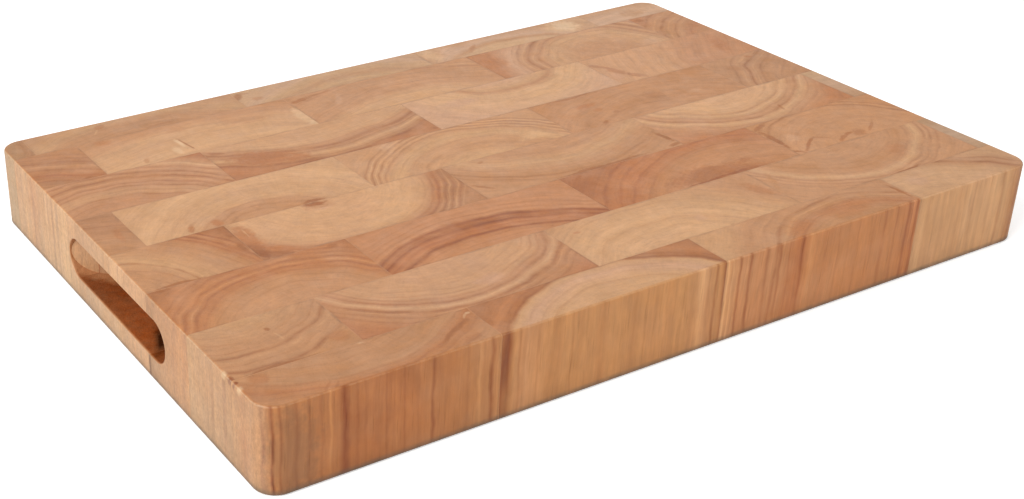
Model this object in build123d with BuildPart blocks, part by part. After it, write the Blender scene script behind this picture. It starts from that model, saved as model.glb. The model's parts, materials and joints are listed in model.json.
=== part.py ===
"""End-grain butcher's cutting board, glued up from staggered rows of hardwood blocks.

Millimetres, +Z up.  The origin is the centre of the underside, +X runs along the board's length
and +Y towards its back edge.  Rows run along X and are counted from the back edge.  The blocks of
a row are counted from the left end.  The grain of every block stands upright, so both faces of
the board show end grain.

The board is made here the way the shop makes it.  Rough blocks and rows of blocks are glued up
into a rough panel, and the panel is machined: cut to its outline, its edges eased and a finger
grip routed into each end.  Each block and each line of glue is its own rough piece, less what the
machining takes away.
"""

import os

from build123d import *

# Board
board_length = 455.0
board_width = 305.0
board_thickness = 44.0
corner_radius = 11.0
edge_round = 1.3

# Finger grips, one in each end: a slot whose ends go straight in a little way and then slant
grip_length = 112.5  # at the mouth
grip_floor_length = 77.5  # at the bottom of the cut, where the slanting ends stop
grip_height = 21.5
grip_depth = 18.5
grip_straight_depth = 1.0
grip_lip_round = 0.5
grip_forward = 2.5  # from the middle of the board's width towards the front edge
grip_raise = 1.0  # from the middle of the board's thickness upwards

# Blocks: whole ones stand side by side, and what they leave of the board's length or width is
# split between the two pieces at its ends or edges
block_length = 127.7  # from one joint in a row to the next
row_width = 42.3  # from one seam between rows to the next
whole_row_count = 6
back_row_share = 0.473  # of what the whole rows leave
whole_block_counts = (3, 3, 2, 3, 3, 2, 3, 2)  # row by row
left_block_shares = (0.177, 0.501, 0.449, 0.278, 0.848, 0.524, 0.878, 0.584)  # row by row

# Glue and machining
glue_line = 0.2
trim_allowance = 3.0  # how far the rough panel stands out beyond the finished board

left_end = -board_length / 2
back_edge = board_width / 2


def strips(total, whole_count, pitch, first_share):
    """Return the pieces and the glue lines that fill a total length, as (start, end) distances."""
    first_piece = (total - whole_count * pitch) * first_share
    joints = [first_piece + number * pitch for number in range(whole_count + 1)]
    glue = [(joint - glue_line / 2, joint + glue_line / 2) for joint in joints]
    starts = [-trim_allowance] + [end for _, end in glue]
    ends = [start for start, _ in glue] + [total + trim_allowance]
    return list(zip(starts, ends)), glue


def write_machined(name, x_strips, y_strip):
    """Write the rough pieces that x_strips and y_strip give, as the machining leaves them.

    x_strips are distances from the left end and y_strip is one pair of distances from the back.
    """
    y_centre = back_edge - sum(y_strip) / 2
    with BuildPart() as piece:
        with BuildSketch(Plane.XY.offset(-trim_allowance)):
            for x_start, x_end in x_strips:
                with Locations((left_end + (x_start + x_end) / 2, y_centre)):
                    Rectangle(x_end - x_start, y_strip[1] - y_strip[0])
        extrude(amount=board_thickness + 2 * trim_allowance)
        add(board.part, mode=Mode.INTERSECT)
    piece.part.label = name
    export_step(piece.part, f"parts/{name}.step")


# What the router takes out at the two ends: a straight slot, held to a plan with slanting ends
with BuildPart() as grips:
    with BuildSketch(Plane.YZ.offset(left_end)):
        with Locations((-grip_forward, board_thickness / 2 + grip_raise)):
            SlotOverall(grip_length, grip_height)
    extrude(amount=grip_depth)
    with BuildSketch(Plane.XY):
        with Locations((left_end, -grip_forward)):
            Polygon(
                (0, -grip_length / 2),
                (grip_straight_depth, -grip_length / 2),
                (grip_depth, -grip_floor_length / 2),
                (grip_depth, grip_floor_length / 2),
                (grip_straight_depth, grip_length / 2),
                (0, grip_length / 2),
                align=None,
            )
    extrude(amount=board_thickness, mode=Mode.INTERSECT)
    mirror(about=Plane.YZ)

# The machined board, which every piece is cut by
with BuildPart() as board:
    with BuildSketch(Plane.XY):
        RectangleRounded(board_length, board_width, corner_radius)
    extrude(amount=board_thickness)
    fillet(board.faces().filter_by(Axis.Z).edges(), edge_round)
    add(grips.part, mode=Mode.SUBTRACT)
    faces_along = board.faces().sort_by(Axis.X)
    for end_face in (faces_along[0], faces_along[-1]):
        fillet(end_face.inner_wires().edges(), grip_lip_round)

os.makedirs("parts", exist_ok=True)

row_strips, seam_strips = strips(board_width, whole_row_count, row_width, back_row_share)
row_layouts = zip(row_strips, whole_block_counts, left_block_shares)

for row, (row_strip, whole_count, left_share) in enumerate(row_layouts, start=1):
    block_strips, joint_strips = strips(board_length, whole_count, block_length, left_share)
    for block, block_strip in enumerate(block_strips, start=1):
        write_machined(f"row_{row}_block_{block}", [block_strip], row_strip)
    write_machined(f"row_{row}_joint_glue", joint_strips, row_strip)

for seam, seam_strip in enumerate(seam_strips, start=1):
    rough_length = (-trim_allowance, board_length + trim_allowance)
    write_machined(f"seam_{seam}_glue", [rough_length], seam_strip)
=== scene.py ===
"""Finish an end-grain butcher's board: upright-grain hardwood blocks, glue lines and a studio.

Every block keeps the shape that the frame gives it.  What is added here is its wood: growth rings
that run right through the block, pores, fine grain down its sides, and the marks of the single
tree that it came from.  Distances in the wood's charts are millimetres, and places in them are
measured from the middle of the block that they belong to.
"""

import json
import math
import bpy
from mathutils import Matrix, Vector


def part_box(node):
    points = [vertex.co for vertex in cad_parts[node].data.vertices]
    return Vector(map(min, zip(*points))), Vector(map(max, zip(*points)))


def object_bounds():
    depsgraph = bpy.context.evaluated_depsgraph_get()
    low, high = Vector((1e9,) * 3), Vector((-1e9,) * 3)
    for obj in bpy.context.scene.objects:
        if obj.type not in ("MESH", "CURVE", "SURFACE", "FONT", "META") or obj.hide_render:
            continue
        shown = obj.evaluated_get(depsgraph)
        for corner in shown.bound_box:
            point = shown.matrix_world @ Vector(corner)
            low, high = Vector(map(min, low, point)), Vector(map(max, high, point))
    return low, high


bl_info = {
    "name": "End-grain board",
    "version": (1, 0, 0),
    "blender": (4, 5, 0),
    "location": "3D View > Sidebar > Board",
    "description": "Finishes the blocks and glue lines of an end-grain board and lights it",
    "category": "Object",
}

from typing import NamedTuple

import bpy
from bpy.props import FloatProperty, FloatVectorProperty, PointerProperty
from mathutils import Matrix, Vector

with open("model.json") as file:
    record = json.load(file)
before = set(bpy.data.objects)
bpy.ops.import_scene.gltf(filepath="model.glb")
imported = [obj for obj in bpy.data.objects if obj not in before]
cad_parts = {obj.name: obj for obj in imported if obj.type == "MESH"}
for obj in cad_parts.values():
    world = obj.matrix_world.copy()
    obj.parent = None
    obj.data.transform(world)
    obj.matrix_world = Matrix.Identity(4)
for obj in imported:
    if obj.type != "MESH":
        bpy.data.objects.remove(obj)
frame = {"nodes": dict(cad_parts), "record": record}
CAD_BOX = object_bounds()

MM = 0.001
BLOCK_NODES = sorted(name for name in frame["nodes"] if "_block_" in name)
GLUE_NODES = sorted(name for name in frame["nodes"] if name.endswith("_glue"))
BOARD_TOP = CAD_BOX[1].z / MM
LEFT_END = CAD_BOX[0].x / MM

# Where the finger grips lie, as the record gives their openings
GRIP = next(hole for hole in frame["record"]["physics"]["openings"] if hole["name"].endswith("left"))
GRIP_LOW, GRIP_HIGH = (Vector(corner) / MM for corner in GRIP["box_m"])
GRIP_REACH = GRIP_HIGH.x - LEFT_END + 0.6
GRIP_MIDDLE = (GRIP_LOW.y + GRIP_HIGH.y) / 2
GRIP_HEIGHT = (GRIP_LOW.z + GRIP_HIGH.z) / 2
GRIP_HALF_HEIGHT = (GRIP_HIGH.z - GRIP_LOW.z) / 2 + 0.4
GRIP_HALF_LENGTH = (GRIP_HIGH.y - GRIP_LOW.y) / 2 + 18.0  # with the slanting ends

# Where the seam lies that has opened under the front end of the left grip
OPEN_SEAM = sum(corner.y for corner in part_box("seam_5_glue")) / 2 / MM


# ---------------------------------------------------------------------------------------------
# The charts of the wood
# ---------------------------------------------------------------------------------------------


class Mark(NamedTuple):
    """A patch of another wood colour: a scorch, a knot or a streak, or a patch of painted shade.

    x and y run from the middle of the block to the middle of the mark, half_x and half_y are half
    its size, all in millimetres, and turn is in degrees.  A mark that does not run right through
    the board has z, its height, and half_z, half its depth.
    """

    x: float
    y: float
    half_x: float
    half_y: float
    turn: float
    wood: str
    strength: float = 0.8
    z: float = 22.0
    half_z: float = 4000.0


class Chart(NamedTuple):
    """The growth rings of one block, seen from above, in millimetres.

    heart is where the middle of the tree lies, from the middle of the block.  rings lists
    (distance from the heart, wood colour) outwards.  lines are the thin lines between rings, as
    (distance from the heart, half width, strength), and a strength below 0 is a pale line.  front
    and end are upright streaks on the front edge and the left end of the board, as (distance from
    the middle of the block, half width, strength).  tint, front_tint and end_tint are what the
    colour is multiplied by: everywhere, on the front edge and on the left end.
    """

    heart: tuple
    rings: tuple
    lines: tuple = ()
    marks: tuple = ()
    front: tuple = ()
    end: tuple = ()
    tint: tuple = (1.0, 1.0, 1.0)
    front_tint: tuple = (1.0, 1.0, 1.0)
    end_tint: tuple = (1.0, 1.0, 1.0)


CHARTS = {
    # Row 1, along the back edge
    "row_1_block_1": Chart(
        heart=(-40, 10),
        rings=((30, "rust"), (40, "honey"), (48, "rust"), (56, "tan")),
        marks=(Mark(3, 0, 2, 10, -10, "rust", 0.6),),
        end=((5, 1, 0.2),),
        tint=(0.85, 0.94, 1.0),
    ),
    "row_1_block_2": Chart(
        heart=(0, -80),
        rings=((66, "tan"), (72, "honey"), (78, "tan"), (84, "tan"), (92, "straw"), (110, "tan")),
        lines=((70, 0.8, 0.2), (75, 0.8, 0.2), (81, 0.7, 0.15)),
        marks=(
            Mark(-21, 6, 5, 4, 30, "rust", 0.6),
            Mark(10, -9, 10, 2, 0, "umber", 0.4),
            Mark(-25, 0, 1, 5, -30, "cream", 0.6),
        ),
        tint=(0.9, 0.9, 0.88),
    ),
    "row_1_block_3": Chart(
        heart=(10, -80),
        rings=((66, "tan"), (73, "straw"), (80, "tan"), (88, "straw"), (95, "blush"), (115, "straw")),
        marks=(
            Mark(-62, 2, 3, 8, -30, "umber", 0.7),
            Mark(-51, -3, 5, 4, 0, "rust", 0.5),
            Mark(-58, 7, 6, 2.5, 0, "umber", 0.4),
        ),
        tint=(0.92, 0.98, 1.02),
    ),
    "row_1_block_4": Chart(
        heart=(-5, -70),
        rings=((58, "straw"), (66, "straw"), (70, "honey"), (75, "blush"), (84, "tan"), (110, "straw")),
        marks=(
            Mark(-57, 0, 8, 13, 0, "cream", 0.7),
            Mark(-42, 2, 10, 10, 0, "blush", 0.8),
            Mark(-27, -2, 2.5, 10, -40, "rust", 0.6),
            Mark(43, 0, 17, 13, 0, "cream", 0.95),
            Mark(46, 0, 13, 10, 0, "chip", 0.3),
        ),
        tint=(1.0, 1.08, 1.18),
    ),
    "row_1_block_5": Chart(
        heart=(-10, -90),
        rings=((76, "blush"), (84, "blush"), (92, "blush"), (100, "tan"), (120, "honey")),
        marks=(Mark(6, -3, 13, 8, 0, "honey", 0.6),),
        tint=(1.0, 1.07, 1.13),
    ),
    # Row 2
    "row_2_block_1": Chart(
        heart=(-40, -85),
        rings=((68, "honey"), (76, "ash"), (84, "rust"), (92, "honey"), (100, "ash"), (112, "honey")),
        lines=(
            (77, 1.0, 0.4),
            (84, 1.5, 0.5),
            (91, 1.5, 0.5),
            (95.5, 1.2, -0.6),
            (100, 1.2, 0.5),
            (105, 1.0, 0.4),
            (110, 1.0, 0.3),
        ),
        marks=(Mark(8, -20, 3, 2, 0, "umber", 0.6),),
        end=((-18, 1.2, 0.25), (-12, 0.8, 0.2), (-3, 1.0, 0.3), (6, 1.0, 0.2)),
        tint=(0.95, 0.92, 0.9),
        end_tint=(1.16, 1.19, 1.16),
    ),
    "row_2_block_2": Chart(
        heart=(0, -150),
        rings=(
            (129, "straw"),
            (138, "cream"),
            (150, "straw"),
            (160, "straw"),
            (167, "tan"),
            (178, "honey"),
        ),
        lines=((140, 0.8, 0.12), (146, 0.8, 0.12), (153, 0.8, 0.15), (162, 0.8, 0.2)),
        marks=(
            Mark(32, 6, 22, 9, -12, "tan", 0.8),
            Mark(-51, 16, 6, 4, -20, "rust", 0.6),
            Mark(-9, 13, 9, 4, 0, "tan", 0.8),
            Mark(-40, -16, 2, 5, -20, "honey", 0.7),
            Mark(-17, -14, 7, 6, 0, "cream", 0.9),
            Mark(-13.5, -5, 2.2, 10, 6, "chip", 0.5),
            Mark(-11, -7, 1.1, 13, 6, "umber", 0.8),
            Mark(-19, -13, 3, 6, 0, "chip", 0.3),
            Mark(61, -6, 4, 17, 0, "chip", 0.3),
            Mark(62, -17, 3, 5, 0, "chip", 0.25),
        ),
    ),
    "row_2_block_3": Chart(
        heart=(0, -101),
        rings=((80, "straw"), (92, "straw"), (100, "tan"), (108, "tan"), (118, "tan"), (134, "honey")),
        lines=(
            (86, 0.8, 0.12),
            (93, 0.8, 0.2),
            (99, 0.8, 0.2),
            (106, 0.8, 0.3),
            (112, 0.8, 0.15),
            (124.5, 1.3, 0.5),
            (128, 0.8, -0.3),
        ),
        marks=(
            Mark(-56, 14.5, 12, 3.0, 18, "umber", 0.75),
            Mark(-42, 18.5, 10, 2.0, 8, "umber", 0.6),
            Mark(-37, 4, 3, 10, -40, "blush", 0.6),
        ),
    ),
    "row_2_block_4": Chart(
        heart=(18, -24),
        rings=((20, "tan"), (40, "straw"), (47, "tan"), (58, "tan"), (66, "blush"), (78, "rust")),
        lines=(
            (36, 0.8, 0.2),
            (42, 0.9, 0.3),
            (47.5, 1.1, 0.5),
            (50.8, 1.0, -0.4),
            (54.7, 2.0, 0.8),
            (58.3, 1.2, -0.6),
            (61.5, 1.0, 0.5),
            (65, 0.8, 0.3),
        ),
        marks=(Mark(-53, 3, 9, 9, 0, "rust", 0.5), Mark(50, -16, 8, 5, 0, "blush", 0.6)),
    ),
    "row_2_block_5": Chart(
        heart=(40, -47),
        rings=((38, "honey"), (48, "rust"), (55, "tan"), (62, "honey"), (72, "honey"), (86, "rust")),
        lines=(
            (48, 1.0, 0.4),
            (58, 1.2, 0.6),
            (62.5, 1.0, -0.4),
            (67, 1.3, 0.7),
            (72, 1.0, -0.4),
            (78, 1.4, 0.6),
        ),
        marks=(Mark(-13, 17, 5, 4, 0, "umber", 0.7), Mark(11, -10, 4, 4, 0, "rust", 0.6)),
    ),
    # Row 3
    "row_3_block_1": Chart(
        heart=(-22, -65),
        rings=(
            (44, "tan"),
            (56, "tan"),
            (64, "straw"),
            (72, "tan"),
            (80, "honey"),
            (88, "tan"),
            (96, "straw"),
            (104, "rust"),
        ),
        lines=(
            (53, 0.9, 0.3),
            (58.8, 1.2, 0.6),
            (64, 0.8, 0.4),
            (69, 1.1, 0.6),
            (73, 1.0, 0.6),
            (76.2, 1.0, -0.5),
            (79.6, 1.2, 0.7),
            (82.4, 0.8, -0.4),
            (85, 1.0, 0.6),
            (88, 0.8, -0.4),
            (91, 1.0, 0.5),
            (95, 1.2, -0.6),
        ),
        end=((-10, 0.8, 0.2), (0, 1.5, -0.3), (10, 1.2, 0.35)),
        tint=(0.95, 0.9, 0.87),
        end_tint=(1.08, 1.12, 1.12),
    ),
    "row_3_block_2": Chart(
        heart=(4, 120),
        rings=(
            (100, "straw"),
            (117, "cream"),
            (123, "tan"),
            (129, "tan"),
            (133, "straw"),
            (138, "honey"),
            (143, "rust"),
        ),
        lines=(
            (108, 0.8, 0.12),
            (115, 0.8, 0.15),
            (120.5, 0.9, 0.3),
            (125.6, 1.8, 0.8),
            (129.3, 0.9, 0.4),
            (132.8, 1.2, -0.35),
            (136.5, 0.9, 0.4),
            (140, 1.8, 0.9),
        ),
        marks=(
            Mark(-38, -4, 25, 12, -15, "rust", 0.95),
            Mark(-57, 15, 7, 2.5, -30, "umber", 0.6),
            Mark(-22, -12, 12, 6, 0, "rust", 0.8),
            Mark(62, -6, 2, 2, 0, "rust", 0.6),
            Mark(62, -18, 2, 2, 0, "umber", 0.6),
            Mark(-8, -20.5, 38, 1.4, 0, "umber", 0.8),
        ),
        tint=(0.95, 0.92, 0.9),
    ),
    "row_3_block_3": Chart(
        heart=(8, 50),
        rings=((30, "blush"), (40, "straw"), (45, "tan"), (50, "cream"), (60, "cream"), (80, "blush")),
        lines=((44, 1.4, 0.35), (48, 0.7, 0.15), (55, 0.9, 0.2), (61, 0.7, 0.15)),
        marks=(Mark(-33, 5, 17, 7, 0, "blush", 0.9), Mark(40, -6, 1.2, 11, -50, "cream", 0.7)),
    ),
    "row_3_block_4": Chart(
        heart=(130, -60),
        rings=((80, "rust"), (96, "honey"), (112, "tan"), (130, "tan"), (150, "straw"), (180, "straw")),
        lines=((104, 1.0, 0.2), (118, 1.0, 0.2), (124, 0.8, 0.15), (138, 1.0, 0.15)),
        marks=(
            Mark(-50, 8, 3.4, 9, 28, "umber", 0.5),
            Mark(-46, -3, 4.2, 11, 21, "umber", 0.5),
            Mark(-39, -14, 3.6, 9, 45, "umber", 0.5),
            Mark(-50, -10, 5, 8, 0, "blush", 0.7),
            Mark(38, 0, 7, 18, -15, "rust", 0.55),
        ),
        tint=(1.0, 0.95, 0.95),
    ),
    # Row 4
    "row_4_block_1": Chart(
        heart=(-20, -60),
        rings=((45, "honey"), (56, "tan"), (66, "ash"), (80, "ash")),
        lines=((58, 1.0, 0.3), (72, 1.0, 0.3)),
        marks=(Mark(4, -4, 3, 9, -10, "rust", 0.6),),
        end=((8, 0.8, 0.2), (-12, 1.0, 0.2)),
        tint=(0.95, 0.95, 0.95),
        end_tint=(1.05, 1.05, 1.05),
    ),
    "row_4_block_2": Chart(
        heart=(1, -48),
        rings=(
            (22, "honey"),
            (34, "honey"),
            (41, "tan"),
            (48, "straw"),
            (60, "straw"),
            (70, "cream"),
            (80, "straw"),
        ),
        lines=(
            (27, 0.8, 0.2),
            (33, 0.9, 0.3),
            (38, 1.0, 0.35),
            (43, 0.9, 0.3),
            (50, 0.8, 0.15),
            (58, 0.8, 0.15),
            (66, 0.8, 0.15),
        ),
        marks=(
            Mark(-38, -17, 2.5, 5, -20, "rust", 0.8),
            Mark(-24, -17, 3.5, 5, 0, "rust", 0.9),
            Mark(29, -20, 8, 2.2, 0, "umber", 0.95),
            Mark(-56, -2, 0.9, 8, -35, "cream", 0.6),
            Mark(-47, -10, 0.9, 6, -30, "cream", 0.5),
        ),
    ),
    "row_4_block_3": Chart(
        heart=(4, -50.5),
        rings=(
            (30, "straw"),
            (42, "tan"),
            (52, "tan"),
            (60, "straw"),
            (66, "tan"),
            (73, "tan"),
            (80, "tan"),
            (96, "tan"),
        ),
        lines=(
            (40, 0.9, 0.2),
            (46, 1.0, 0.25),
            (54, 0.9, 0.25),
            (60, 0.9, 0.3),
            (67, 0.9, 0.5),
            (68.8, 0.7, -0.4),
            (70.5, 0.9, 0.7),
            (72.3, 0.7, -0.5),
            (74, 1.0, 0.8),
            (75.8, 0.7, -0.4),
            (77.6, 0.9, 0.6),
        ),
        marks=(Mark(-32, 18, 8, 4, 0, "blush", 0.6), Mark(44, -12, 13, 6, 0, "cream", 0.6)),
        tint=(1.05, 1.07, 1.05),
    ),
    "row_4_block_4": Chart(
        heart=(0, -83),
        rings=((62, "tan"), (72, "tan"), (80, "honey"), (88, "tan"), (96, "tan"), (110, "honey")),
        lines=((66, 0.8, 0.2), (75, 1.0, 0.25), (84, 0.8, 0.2), (93, 0.9, 0.25), (100, 0.8, 0.2)),
        marks=(
            Mark(-33, 7, 11, 4, 15, "rust", 0.8),
            Mark(-31, -1, 6, 2.5, 10, "rust", 0.6),
            Mark(-38, -17, 3.5, 1.6, 20, "umber", 0.7),
            Mark(-24, -10, 3, 2, 0, "umber", 0.5),
            Mark(10, -2, 8, 5, 0, "ash", 0.6),
            Mark(34, -9, 6, 4, 0, "blush", 0.5),
            Mark(-35, 20.5, 24, 1.4, 0, "umber", 0.6),
        ),
        tint=(1.0, 0.97, 0.92),
    ),
    "row_4_block_5": Chart(
        heart=(48, -43),
        rings=((26, "rust"), (40, "honey"), (52, "tan"), (60, "honey"), (68, "tan"), (84, "tan")),
        lines=(
            (50, 1.0, 0.3),
            (62, 1.1, 0.5),
            (66, 0.7, -0.3),
            (70, 1.3, 0.8),
            (74, 0.9, -0.3),
            (78, 1.0, 0.4),
        ),
        marks=(Mark(-12, 6, 7, 6, 0, "ash", 0.6), Mark(8, 17, 2.5, 3, 0, "rust", 0.7)),
        tint=(0.95, 0.95, 0.95),
    ),
    # Row 5
    "row_5_block_1": Chart(
        heart=(-43, -30),
        rings=(
            (14, "tan"),
            (36, "tan"),
            (44, "straw"),
            (60, "tan"),
            (66, "honey"),
            (71, "rust"),
            (77, "rust"),
            (83, "umber"),
        ),
        lines=(
            (30, 0.7, 0.25),
            (36, 0.8, 0.3),
            (42, 1.0, 0.7),
            (50, 0.7, 0.15),
            (57, 0.8, 0.2),
            (64, 0.8, 0.3),
            (70.5, 1.0, 0.5),
            (74, 1.3, 0.8),
            (76, 0.7, -0.4),
            (78.3, 1.0, 0.8),
        ),
        marks=(
            Mark(27.5, 13, 1.8, 5, 0, "umber", 0.8),
            Mark(28, -3, 1.6, 8, 0, "umber", 0.7),
            Mark(-12, -20.5, 20, 1.8, 0, "umber", 0.8),
        ),
        end=((-10, 1.0, 0.2), (15, 1.0, 0.2)),
        tint=(0.97, 0.95, 0.9),
        end_tint=(1.03, 1.0, 1.0),
    ),
    "row_5_block_2": Chart(
        heart=(-8, 34),
        rings=(
            (30, "cream"),
            (50, "cream"),
            (56, "straw"),
            (60, "tan"),
            (64, "rust"),
            (70, "ash"),
            (82, "ash"),
        ),
        lines=(
            (42, 0.8, 0.1),
            (57, 0.8, 0.2),
            (61.5, 1.0, 0.4),
            (65, 1.1, 0.6),
            (67, 0.6, -0.4),
            (69, 1.0, 0.5),
            (71, 0.6, -0.6),
            (73, 1.1, 0.5),
            (75, 0.7, -0.6),
            (77, 1.0, 0.5),
            (79, 0.6, -0.4),
        ),
        marks=(
            Mark(-59, 4, 7, 19, 0, "rust", 0.8),
            Mark(-52, -15, 12, 6, -25, "rust", 0.8),
            Mark(-60, -10, 5, 14, 0, "umber", 0.9),
            Mark(-54, -19, 12, 5, -30, "umber", 0.8),
            Mark(-60, -16, 4, 6, 0, "walnut", 0.4),
            Mark(-58, 9, 0.7, 5, 0, "cream", 0.6),
            Mark(-12.5, 17, 11, 8, 0, "tan", 0.8),
            Mark(-12.5, 19.5, 7, 3.5, 0, "umber", 1.0),
            Mark(-12, 12, 6, 1.7, 0, "blush", 0.8),
        ),
        tint=(0.98, 0.95, 0.92),
    ),
    "row_5_block_3": Chart(
        heart=(5, 80),
        rings=((60, "tan"), (72, "tan"), (82, "straw"), (90, "tan"), (97, "honey"), (110, "tan")),
        lines=(
            (66, 0.7, 0.15),
            (72, 0.8, 0.2),
            (78, 0.7, 0.15),
            (84, 0.8, 0.2),
            (90, 0.8, 0.2),
            (97, 1.2, 0.45),
            (101, 1.0, 0.4),
        ),
        marks=(
            Mark(-59, -10, 1.6, 9, 30, "umber", 0.6),
            Mark(-42, 18, 2.5, 1.5, 0, "umber", 0.5),
            Mark(62, -8, 2.2, 11, 0, "umber", 0.85),
            Mark(60, -19, 4, 2, 0, "umber", 0.7),
            Mark(20, -15, 28, 5, 0, "honey", 0.5),
            Mark(10, -20, 36, 2.4, 0, "umber", 0.9),
        ),
    ),
    "row_5_block_4": Chart(
        heart=(-3, 55),
        rings=(
            (30, "cream"),
            (50, "cream"),
            (56, "straw"),
            (61, "straw"),
            (66, "tan"),
            (72, "straw"),
            (77, "tan"),
            (88, "rust"),
        ),
        lines=(
            (44, 0.8, 0.12),
            (51, 0.8, 0.2),
            (57.5, 1.1, 0.5),
            (60.5, 0.8, -0.3),
            (64, 0.9, 0.35),
            (68.5, 1.5, 0.75),
            (71.5, 1.2, -0.3),
            (75.5, 0.8, 0.3),
            (80, 1.0, 0.3),
        ),
        marks=(Mark(18, -11, 1.3, 5, -20, "umber", 0.6),),
        tint=(1.03, 1.02, 1.02),
    ),
    "row_5_block_5": Chart(
        heart=(0, 60),
        rings=((40, "straw"), (60, "blush"), (80, "tan")),
        tint=(0.91, 1.0, 1.08),
    ),
    # Row 6
    "row_6_block_1": Chart(
        heart=(5, -48),
        rings=(
            (26, "tan"),
            (40, "tan"),
            (50, "honey"),
            (57, "rust"),
            (66, "rust"),
            (76, "rust"),
            (84, "umber"),
        ),
        lines=(
            (36, 0.8, 0.15),
            (44, 0.8, 0.2),
            (50, 0.8, 0.25),
            (55.5, 0.9, 0.3),
            (59.8, 1.1, 0.6),
            (62.3, 1.0, -0.6),
            (65, 1.0, 0.5),
            (67.5, 0.7, -0.3),
            (70, 1.0, 0.35),
            (74, 0.9, 0.3),
        ),
        marks=(
            Mark(43, 17, 4.5, 3.5, 0, "umber", 0.8),
            Mark(-46, 19, 8, 2.2, 0, "umber", 0.8),
        ),
        end=((2, 1.0, 0.2), (-10, 1.5, 0.2)),
        end_tint=(0.97, 1.0, 0.97),
    ),
    "row_6_block_2": Chart(
        heart=(-6, -98),
        rings=(
            (76, "tan"),
            (87, "honey"),
            (91, "umber"),
            (95, "rust"),
            (99, "umber"),
            (104, "umber"),
            (108, "tan"),
            (118, "tan"),
            (124, "tan"),
            (128, "honey"),
        ),
        lines=(
            (82, 0.7, 0.2),
            (86.5, 0.8, 0.25),
            (90.3, 1.1, 0.9),
            (92.6, 0.8, -0.4),
            (95, 0.9, 0.4),
            (99.3, 1.7, 0.9),
            (101.8, 0.7, -0.3),
            (104.3, 1.2, 0.8),
            (107, 0.8, -0.3),
            (109.5, 0.9, 0.4),
            (113.5, 0.9, 0.35),
            (118, 0.8, 0.2),
        ),
        tint=(1.02, 0.92, 0.85),
    ),
    "row_6_block_3": Chart(
        heart=(26, -68),
        rings=(
            (46, "umber"),
            (54, "honey"),
            (66, "tan"),
            (76, "honey"),
            (86, "rust"),
            (98, "rust"),
            (112, "umber"),
        ),
        lines=(
            (60, 0.8, 0.25),
            (70, 0.8, 0.2),
            (80, 1.0, 0.3),
            (88, 1.1, 0.4),
            (95, 1.1, 0.4),
            (102, 1.2, 0.5),
        ),
        marks=(
            Mark(-62.5, 6, 1.8, 6, 0, "umber", 0.9),
            Mark(-54, 18, 6, 1.6, 35, "umber", 0.7),
            Mark(8, -14, 36, 11, 0, "umber", 0.6),
            Mark(36, -10, 4, 3, 0, "umber", 0.4),
            Mark(10, -20.5, 34, 1.3, 0, "walnut", 0.6),
        ),
        tint=(1.02, 0.95, 0.88),
    ),
    "row_6_block_4": Chart(
        heart=(-5, -33),
        rings=((12, "tan"), (30, "tan"), (44, "tan"), (52, "tan"), (62, "honey"), (70, "honey")),
        lines=(
            (30, 0.7, 0.15),
            (40, 0.8, 0.2),
            (50, 0.8, 0.25),
            (56, 1.2, 0.7),
            (58, 0.7, -0.3),
            (60, 1.1, 0.6),
        ),
        marks=(
            Mark(-45, -1, 3, 17, -4, "umber", 0.9),
            Mark(-40, 16, 9, 2.2, 20, "umber", 0.7),
            Mark(-45.5, -17.5, 7, 1.7, -30, "umber", 0.8),
            Mark(-32.5, -13.7, 15, 1.5, 37, "umber", 0.85),
            Mark(-21, -10, 6, 1.6, -40, "umber", 0.4),
            Mark(-9, -15, 13, 2.0, 22, "umber", 0.75),
            Mark(1, -15, 6, 4.5, 0, "umber", 0.5),
            Mark(12, -12.6, 10, 1.5, 37, "umber", 0.55),
            Mark(-34, -2, 6, 7, 0, "blush", 0.6),
        ),
        tint=(1.05, 1.03, 0.98),
    ),
    # Row 7
    "row_7_block_1": Chart(
        heart=(-9, 44),
        rings=((24, "straw"), (44, "tan"), (50, "tan"), (57, "tan"), (62, "tan"), (68, "honey")),
        lines=(
            (28, 0.6, 0.12),
            (34, 0.7, 0.2),
            (40, 0.7, 0.25),
            (46.5, 0.8, 0.3),
            (51, 1.4, 0.75),
            (54.5, 1.0, -0.3),
            (58, 0.8, 0.25),
            (63, 1.5, 0.85),
        ),
        marks=(
            Mark(2, 8, 2, 2, 0, "umber", 0.8),
            Mark(26, -14, 6, 6, 0, "rust", 0.6),
            Mark(3, 0, 0.7, 5, 0, "cream", 0.5),
            Mark(-8, -20.5, 24, 1.5, 0, "umber", 0.8),
            Mark(-31, -19.5, 2.2, 2.6, 0, "walnut", 1.0, 43, 3),
            Mark(-31.3, -14, 2.0, 2.4, 0, "chip", 0.55, 43, 3),
        ),
        end=((17, 2.0, -0.2), (9, 3.0, 0.35), (-6, 1.5, 0.4), (-14, 1.0, -0.3), (-20, 1.0, 0.35)),
        tint=(0.93, 0.92, 0.9),
        end_tint=(0.91, 0.90, 0.89),
    ),
    "row_7_block_2": Chart(
        heart=(2, 59),
        rings=(
            (38, "straw"),
            (56, "straw"),
            (66, "straw"),
            (72, "tan"),
            (76, "straw"),
            (80, "honey"),
            (86, "honey"),
            (94, "rust"),
        ),
        lines=(
            (48, 0.7, 0.12),
            (56, 0.8, 0.18),
            (61, 0.8, 0.25),
            (65.5, 0.9, 0.4),
            (67.3, 0.6, -0.2),
            (69, 0.9, 0.4),
            (72.4, 1.1, 0.6),
            (75.5, 1.2, -0.35),
            (79, 1.4, 0.75),
            (81.5, 0.7, -0.3),
            (84, 0.9, 0.35),
            (88, 0.9, 0.35),
        ),
        marks=(Mark(15, -4, 12, 6, 0, "blush", 0.7),),
        tint=(0.95, 0.92, 0.95),
    ),
    "row_7_block_3": Chart(
        heart=(-17, -56),
        rings=((30, "straw"), (46, "cream"), (58, "straw"), (64, "cream"), (74, "straw"), (92, "tan")),
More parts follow.
